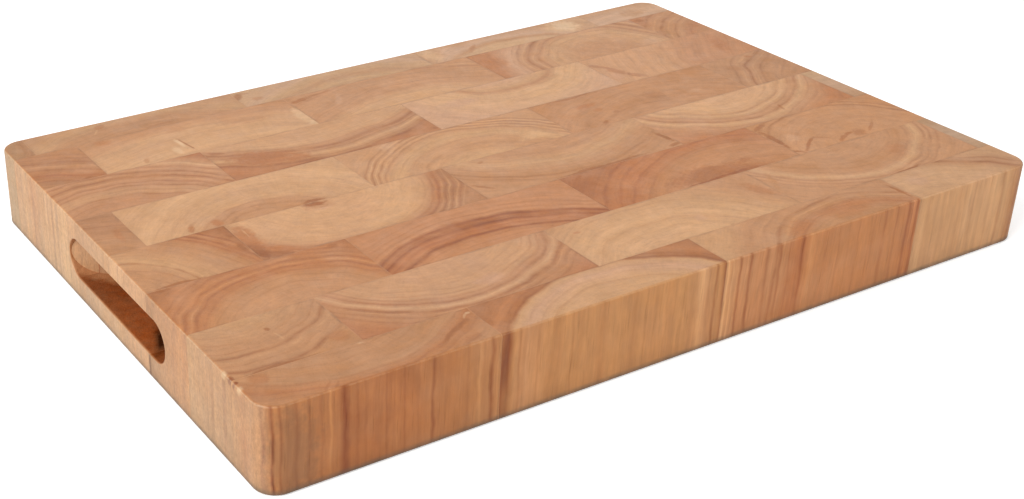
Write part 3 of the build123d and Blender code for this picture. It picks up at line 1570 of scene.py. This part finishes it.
def scorch_and_paint_shade_in_grips(group, spot, colour, grain):
    """Return the grips' colour, burnt by the cutter and painted shaded, how much of that there is, and
    where.
    """
    from_end, inside = inside_grips(group, spot.at)
    y = spot.at["Y"]

    # Painted shade: the slanting ends are pale at the mouth and darken as they go in
    shade_with_depth = spread(group, from_end, 1.0, 17.0, 0.30, 1.0)
    on_slant = spread(group, spot.facing["Y"], 0.3, 0.6)
    slant_share = maths(group, "MULTIPLY_ADD", on_slant, maths(group, "SUBTRACT", shade_with_depth, 1.0), 1.0)
    uneven = spread(group, noise(group, spot.seeded, 0.12, 3.0, 0.6), 0.3, 0.7, 0.75, 1.0)

    # The floor's back end is painted lit, and its front nook is in the darkest painted shadow
    ragged = swing(group, noise(group, spot.seeded, 0.25, 3.0, 0.6), 8.0)
    towards_back = maths(group, "ADD", maths(group, "MULTIPLY_ADD", from_end, 1.6, y), ragged)
    shade_share = spread(group, towards_back, 45.0, 57.0, 1.0, 0.08, smooth=True)
    scorch_and_shade = product(group, inside, uneven, slant_share, shade_share)
    ragged_depth = maths(group, "MULTIPLY_ADD", ragged, 0.2, from_end)
    # Painted shadow, darkest in the nook at the front end of the floor
    nook_shadow = product(
        group,
        inside,
        spread(group, maths(group, "MULTIPLY_ADD", y, -0.5, ragged_depth), 20.5, 25.5, smooth=True),
        spread(group, y, GRIP_MIDDLE - 9.0, GRIP_MIDDLE - 26.0, smooth=True),
        spread(group, y, GRIP_MIDDLE - 34.0, GRIP_MIDDLE - 43.0, 1.0, 0.45),
    )
    # Painted light and shade on the grips' burnt colour, lighter towards their front, and uneven
    grip_light = product(
        group,
        spread(group, y, GRIP_MIDDLE + 30.0, GRIP_MIDDLE - 8.0, 0.74, 1.07),
        spread(group, y, GRIP_MIDDLE - 8.0, GRIP_MIDDLE - 32.0, 1.0, 1.12),
        maths(group, "MULTIPLY_ADD", nook_shadow, -0.85, 1.0),
        spread(group, noise(group, spot.seeded, 0.3, 3.0, 0.7), 0.3, 0.7, 0.7, 1.25),
    )
    grip_scorch_and_shade = scaled(group, tuple(grain.grip_scorch_and_shade), grip_light)
    scorch_and_shade = maths(group, "MAXIMUM", scorch_and_shade, nook_shadow)
    return mix_colour(group, scorch_and_shade, colour, grip_scorch_and_shade), scorch_and_shade, inside


def make_wear_and_light_group(grain):
    """Make the node group for the marks of sawing, glueing, routing and use, and painted light and
    shade.
    """
    inputs = {
        "Colour": "colour",
        "Seeded place": "vector",
        "Block middle": "vector",
        "Block half size": "vector",
        "Relief": "number",
    }
    outputs = {"Colour": "colour", "Relief": "number", "Gloss": "number"}
    group, given, result = new_group("worn wood", inputs, outputs)
    spot = look_at_spot(group, given.outputs["Seeded place"])
    block = (given.outputs["Block middle"], given.outputs["Block half size"])

    colour = show_side_grain(group, spot, given.outputs["Colour"], grain)
    colour = paint_end_sheen_and_specks(group, spot, colour, grain)
    colour = paint_top_edge_light(group, spot, colour, grain)
    colour = darken_joints(group, spot, colour, *block, grain)
    colour = paint_rim_shadow(group, spot, colour, grain)
    colour = open_seam(group, spot, colour)
    colour, scorch_and_shade, inside = scorch_and_paint_shade_in_grips(group, spot, colour, grain)
    group.links.new(colour, result.inputs["Colour"])

    # Scorched and painted shaded wood is duller, and the cutter has torn its fibres
    group.links.new(spread(group, scorch_and_shade, 0.0, 1.0, 0.5, 0.06), result.inputs["Gloss"])
    fibre_place = drawn_out(group, spot.seeded, (1.0, 1.0, 0.3))
    torn = product(group, noise(group, fibre_place, 0.8, 3.0, 0.7), inside)
    relief = maths(group, "MULTIPLY_ADD", torn, TORN_FIBRE_RELIEF, given.outputs["Relief"])
    group.links.new(relief, result.inputs["Relief"])
    return group


def line_amount(tree, distance, lines):
    """Return the strength of the lines (place, half width, strength) at a distance."""
    total = 0.0
    for start in range(0, len(lines), LINES_IN_A_RAMP):
        few = lines[start : start + LINES_IN_A_RAMP]
        total = maths(tree, "ADD", total, ramp_amount(tree, distance, few))
    return total


def ramp_amount(tree, distance, lines):
    """Return the strength of a few lines, as one colour ramp can hold them."""
    first = lines[0][0] - lines[0][1] - 1.0
    last = lines[-1][0] + lines[-1][1] + 1.0
    heights = [(first, 0.0), (last, 0.0)]
    for place, half, strength in lines:
        heights += [(place - half, 0.0), (place, strength), (place + half, 0.0)]
    heights.sort()
    ramp = add_node(tree, "ShaderNodeValToRGB", {"Fac": spread(tree, distance, first, last)})
    ramp.color_ramp.interpolation = "LINEAR"
    stops = ramp.color_ramp.elements
    while len(stops) < len(heights):
        stops.new(0.5)
    for stop, (place, height) in zip(stops, heights):
        grey = 0.5 + 0.5 * height
        stop.position = (place - first) / (last - first)
        stop.color = (grey, grey, grey, 1.0)
    return maths(tree, "MULTIPLY_ADD", ramp.outputs["Color"], 2.0, -1.0)


def add_face_grain(tree, colour, place, axis, middle, streaks, tint):
    """Tint the faces of a block that look along -Y, or along -X, and lay upright streaks on them."""
    normal = add_node(tree, "ShaderNodeNewGeometry").outputs["Normal"]
    facing = split(tree, normal)["Y" if axis == "X" else "X"]
    showing = spread(tree, facing, -0.25, -0.6, 0.0, 1.0, smooth=True)
    tinted = vector_maths(tree, "MULTIPLY", colour, tint)
    wave = swing(tree, noise(tree, drawn_out(tree, place, (0.04, 0.04, 0.06)), 1.0, 2.0), 1.6)
    from_middle = maths(tree, "SUBTRACT", split(tree, place)[axis], middle)
    along = maths(tree, "ADD", from_middle, wave)
    fading = spread(tree, noise(tree, place, 0.05, 2.0), 0.3, 0.6, 0.8, 1.6)
    streaked = shade_by(tree, tinted, product(tree, line_amount(tree, along, streaks), fading))
    return mix_colour(tree, showing, colour, streaked)


def add_mark(tree, colour, place, middle, mark, wood):
    """Lay one mark over a block's colour and return the result."""
    centre = (middle.x + mark.x, middle.y + mark.y, mark.z)
    turn = (0.0, 0.0, math.radians(mark.turn))
    halves = (mark.half_x, mark.half_y, mark.half_z)
    inputs = {"Vector": place, "Location": centre, "Rotation": turn, "Scale": halves}
    inside = add_node(tree, "ShaderNodeMapping", inputs, vector_type="TEXTURE").outputs["Vector"]
    reach = vector_maths(tree, "LENGTH", inside)
    ragged = noise(tree, place, 0.35, 2.0)
    edge = maths(tree, "MULTIPLY_ADD", ragged, 0.9, maths(tree, "SUBTRACT", reach, 0.45))
    cover = spread(tree, edge, 1.0, 0.35, 0.0, mark.strength, smooth=True)
    return mix_colour(tree, cover, colour, getattr(wood, mark.wood))


def add_chart_colours(tree, distance, rings, wood):
    """Return the colour that a block's chart gives at a distance from its heart."""
    first, last = rings[0][0], rings[-1][0]
    ramp = add_node(tree, "ShaderNodeValToRGB", {"Fac": spread(tree, distance, first, last)})
    ramp.color_ramp.interpolation = "LINEAR"
    stops = ramp.color_ramp.elements
    while len(stops) < len(rings):
        stops.new(0.5)
    for stop, (ring, colour_name) in zip(stops, rings):
        stop.position = (ring - first) / (last - first)
        stop.color = (*getattr(wood, colour_name), 1.0)
    return ramp.outputs["Color"]


def mean_colour(rings, wood):
    """Return the plain mean of the colours in a chart."""
    colours = [getattr(wood, colour_name) for _, colour_name in rings]
    return tuple(sum(parts) / len(colours) for parts in zip(*colours))


def make_block_material(name, number, chart, groups, scene):
    """Make the wood of one block from its chart."""
    wood, grain = scene.board_wood, scene.board_grain
    material = bpy.data.materials.new(name.replace("_", " ") + " wood")
    material.use_nodes = True
    tree = material.node_tree
    surface = tree.nodes["Principled BSDF"]
    low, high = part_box(name)
    middle = (low + high) / 2 / MM
    heart = (middle.x + chart.heart[0], middle.y + chart.heart[1], 0.0)
    rings = add_group(tree, groups["rings"], {"Heart": heart, "Seed": float(number)})
    passed_on = {key: rings.outputs[key] for key in ("Seeded place", "Outwards", "Ring distance")}
    wood_grain = add_group(tree, groups["grain"], passed_on)

    charted = add_chart_colours(tree, wood_grain.outputs["Frayed distance"], chart.rings, wood)
    plain = mean_colour(chart.rings, wood)
    colour = mix_colour(tree, wood_grain.outputs["Chart strength"], plain, charted)
    colour = mix_colour(tree, wood_grain.outputs["Pinkness"], colour, wood.blush)
    if chart.lines:
        lines = [(place, half * LINE_BREADTH, strength) for place, half, strength in chart.lines]
        amount = line_amount(tree, wood_grain.outputs["Frayed distance"], lines)
        colour = shade_by(tree, colour, product(tree, amount, wood_grain.outputs["Line strength"]))
    upright = rings.outputs["Upright place"]
    for mark in chart.marks:
        place = upright if mark.half_z < BOARD_TOP else rings.outputs["Place"]
        colour = add_mark(tree, colour, place, middle, mark, wood)
    if chart.front:
        colour = add_face_grain(tree, colour, upright, "X", middle.x, chart.front, chart.front_tint)
    if chart.end:
        colour = add_face_grain(tree, colour, upright, "Y", middle.y, chart.end, chart.end_tint)
    toned = scaled(tree, colour, wood_grain.outputs["Tone"])
    colour = vector_maths(tree, "MULTIPLY", toned, chart.tint)

    # A block's outer sides are no joints, so its box is carried on beyond the board's edges
    beyond = NO_JOINT_BEYOND * MM
    joint_low = [edge - beyond if edge < wall + MM else edge for edge, wall in zip(low, CAD_BOX[0])]
    joint_high = [edge + beyond if edge > wall - MM else edge for edge, wall in zip(high, CAD_BOX[1])]
    joint_middle = [(start + end) / 2 / MM for start, end in zip(joint_low, joint_high)]
    joint_half = [(end - start) / 2 / MM for start, end in zip(joint_low, joint_high)]
    worn_and_lit_inputs = {
        "Colour": colour,
        "Seeded place": rings.outputs["Seeded place"],
        "Block middle": joint_middle,
        "Block half size": joint_half,
        "Relief": wood_grain.outputs["Relief"],
    }
    worn_and_lit = add_group(tree, groups["wear_and_light"], worn_and_lit_inputs)
    tree.links.new(worn_and_lit.outputs["Colour"], surface.inputs["Base Color"])
    tree.links.new(wood_grain.outputs["Roughness"], surface.inputs["Roughness"])
    tree.links.new(worn_and_lit.outputs["Gloss"], surface.inputs["Specular IOR Level"])
    bump_inputs = {"Height": worn_and_lit.outputs["Relief"], "Distance": grain.pore_depth, "Strength": 0.6}
    bump = add_node(tree, "ShaderNodeBump", bump_inputs)
    tree.links.new(bump.outputs["Normal"], surface.inputs["Normal"])
    return material


def make_glue_material(glue, grain):
    """Make the cured glue: a dull brown film, a little uneven, scorched and painted shaded in the
    grips.
    """
    material = bpy.data.materials.new("cured wood glue")
    material.use_nodes = True
    tree = material.node_tree
    surface = tree.nodes["Principled BSDF"]
    place = place_in_millimetres(tree)
    uneven = noise(tree, place, 0.08, 3.0)
    dark = tuple(0.7 * part for part in glue.colour)
    pale = tuple(min(1.0, 1.2 * part) for part in glue.colour)
    shade = spread(tree, uneven, 0.35, 0.65)
    colour = mix_colour(tree, shade, dark, pale)
    inside = inside_grips(tree, split(tree, place))[1]
    # The glue in the grips is burnt and painted shaded like the wood
    colour = mix_colour(tree, inside, colour, tuple(grain.grip_scorch_and_shade))
    tree.links.new(colour, surface.inputs["Base Color"])
    rough = spread(tree, noise(tree, place, 0.5, 2.0), 0.3, 0.7, 0.4, 0.6)
    tree.links.new(rough, surface.inputs["Roughness"])
    return material


def dress(node_name, material):
    """Give a node of the frame its finish in place of the plain one."""
    node = frame["nodes"][node_name]
    node.data.materials.clear()
    node.data.materials.append(material)


# ---------------------------------------------------------------------------------------------
# Operators
# ---------------------------------------------------------------------------------------------


class BOARD_OT_finish_blocks(bpy.types.Operator):
    """Give every block its own wood, from its chart"""

    bl_idname = "board.finish_blocks"
    bl_label = "Finish Blocks"

    def execute(self, context):
        scene = context.scene
        groups = {
            "rings": make_ring_group(scene.board_grain),
            "grain": make_grain_group(scene.board_grain),
            "wear_and_light": make_wear_and_light_group(scene.board_grain),
        }
        for number, name in enumerate(BLOCK_NODES, start=1):
            dress(name, make_block_material(name, number, CHARTS[name], groups, scene))
        return {"FINISHED"}


class BOARD_OT_finish_glue(bpy.types.Operator):
    """Give every glue line its finish"""

    bl_idname = "board.finish_glue"
    bl_label = "Finish Glue Lines"

    def execute(self, context):
        material = make_glue_material(context.scene.board_glue, context.scene.board_grain)
        for name in GLUE_NODES:
            dress(name, material)
        return {"FINISHED"}


def make_floor(studio):
    """Lay the plain pale floor that the board lies on."""
    half = studio.floor_size / 2
    mesh = bpy.data.meshes.new("floor")
    plan = ((-half, -half), (half, -half), (half, half), (-half, half))
    mesh.from_pydata([(x, y, -FLOOR_GAP) for x, y in plan], [], [(0, 1, 2, 3)])
    floor = bpy.data.objects.new("floor", mesh)
    bpy.context.scene.collection.objects.link(floor)
    material = bpy.data.materials.new("pale floor")
    material.use_nodes = True
    tree = material.node_tree
    surface = tree.nodes["Principled BSDF"]
    surface.inputs["Base Color"].default_value = (*studio.floor_colour, 1.0)
    surface.inputs["Roughness"].default_value = 0.9
    surface.inputs["Specular IOR Level"].default_value = 0.0
    surface.inputs["Emission Color"].default_value = (1.0, 1.0, 1.0, 1.0)
    ray = add_node(tree, "ShaderNodeLightPath").outputs["Is Camera Ray"]
    tree.links.new(maths(tree, "MULTIPLY", ray, FLOOR_GLOW), surface.inputs["Emission Strength"])
    mesh.materials.append(material)


def make_sky(studio):
    """Light the scene evenly from all round, and show the sky as white."""
    world = bpy.data.worlds.new("studio sky")
    bpy.context.scene.world = world
    world.use_nodes = True
    tree = world.node_tree
    path = add_node(tree, "ShaderNodeLightPath")
    seen = maths(tree, "MAXIMUM", path.outputs["Is Camera Ray"], path.outputs["Is Transmission Ray"])
    strength = spread(tree, seen, 0.0, 1.0, studio.sky, 1.0)
    tree.links.new(strength, tree.nodes["Background"].inputs["Strength"])
    tree.nodes["Background"].inputs["Color"].default_value = (1.0, 1.0, 1.0, 1.0)


def make_lamp(name, place, size, power):
    """Hang a square soft lamp at a place, turned towards the board."""
    data = bpy.data.lights.new(name, "AREA")
    data.size = size
    data.energy = power
    lamp = bpy.data.objects.new(name, data)
    lamp.location = place
    lamp.rotation_euler = (-Vector(place)).to_track_quat("-Z", "Y").to_euler()
    bpy.context.scene.collection.objects.link(lamp)


def make_camera(studio):
    """Stand the camera at the board's front left, looking down along it."""
    data = bpy.data.cameras.new("camera")
    data.lens = studio.lens
    data.sensor_width = 36.0
    data.shift_x = studio.shift
    camera = bpy.data.objects.new("camera", data)
    turn = Matrix.Rotation(math.radians(CAMERA_TURN), 4, "Z")
    tilt = Matrix.Rotation(math.radians(90 - CAMERA_DIP), 4, "X")
    roll = Matrix.Rotation(math.radians(CAMERA_ROLL), 4, "Z")
    place = Matrix.Translation(CAMERA_PLACE)
    camera.matrix_world = place @ turn @ tilt @ roll
    bpy.context.scene.collection.objects.link(camera)
    bpy.context.scene.camera = camera


class BOARD_OT_set_stage(bpy.types.Operator):
    """Lay the floor, hang the lamps and stand the camera"""

    bl_idname = "board.set_stage"
    bl_label = "Set Stage"

    def execute(self, context):
        studio = context.scene.board_studio
        make_floor(studio)
        make_sky(studio)
        make_lamp("key lamp", KEY_LAMP_PLACE, KEY_LAMP_SIZE, studio.key_power)
        make_lamp("back lamp", BACK_LAMP_PLACE, BACK_LAMP_SIZE, studio.back_power)
        make_camera(studio)
        context.scene.view_settings.view_transform = "Standard"
        return {"FINISHED"}


class BOARD_PT_panel(bpy.types.Panel):
    """Lists the steps of finishing the board"""

    bl_idname = "BOARD_PT_panel"
    bl_label = "End-Grain Board"
    bl_space_type = "VIEW_3D"
    bl_region_type = "UI"
    bl_category = "Board"

    def draw(self, context):
        scene = context.scene
        for operator in (BOARD_OT_finish_blocks, BOARD_OT_finish_glue, BOARD_OT_set_stage):
            self.layout.operator(operator.bl_idname)
        for settings in (scene.board_wood, scene.board_grain, scene.board_glue, scene.board_studio):
            box = self.layout.box()
            for name in settings.__annotations__:
                box.prop(settings, name)


CLASSES = (
    BoardWoodColours,
    BoardWoodGrain,
    BoardGlue,
    BoardStudio,
    BOARD_OT_finish_blocks,
    BOARD_OT_finish_glue,
    BOARD_OT_set_stage,
    BOARD_PT_panel,
)


def register():
    """Make the classes known and hang their settings on the scene."""
    for each in CLASSES:
        bpy.utils.register_class(each)
    bpy.types.Scene.board_wood = PointerProperty(type=BoardWoodColours)
    bpy.types.Scene.board_grain = PointerProperty(type=BoardWoodGrain)
    bpy.types.Scene.board_glue = PointerProperty(type=BoardGlue)
    bpy.types.Scene.board_studio = PointerProperty(type=BoardStudio)


def unregister():
    """Take the settings and the classes away again."""
    del bpy.types.Scene.board_studio
    del bpy.types.Scene.board_glue
    del bpy.types.Scene.board_grain
    del bpy.types.Scene.board_wood
    for each in reversed(CLASSES):
        bpy.utils.unregister_class(each)


def main():
    """Finish the board from the frame."""
    register()
    bpy.ops.board.finish_blocks()
    bpy.ops.board.finish_glue()
    bpy.ops.board.set_stage()


if __name__ == "__main__":
    main()
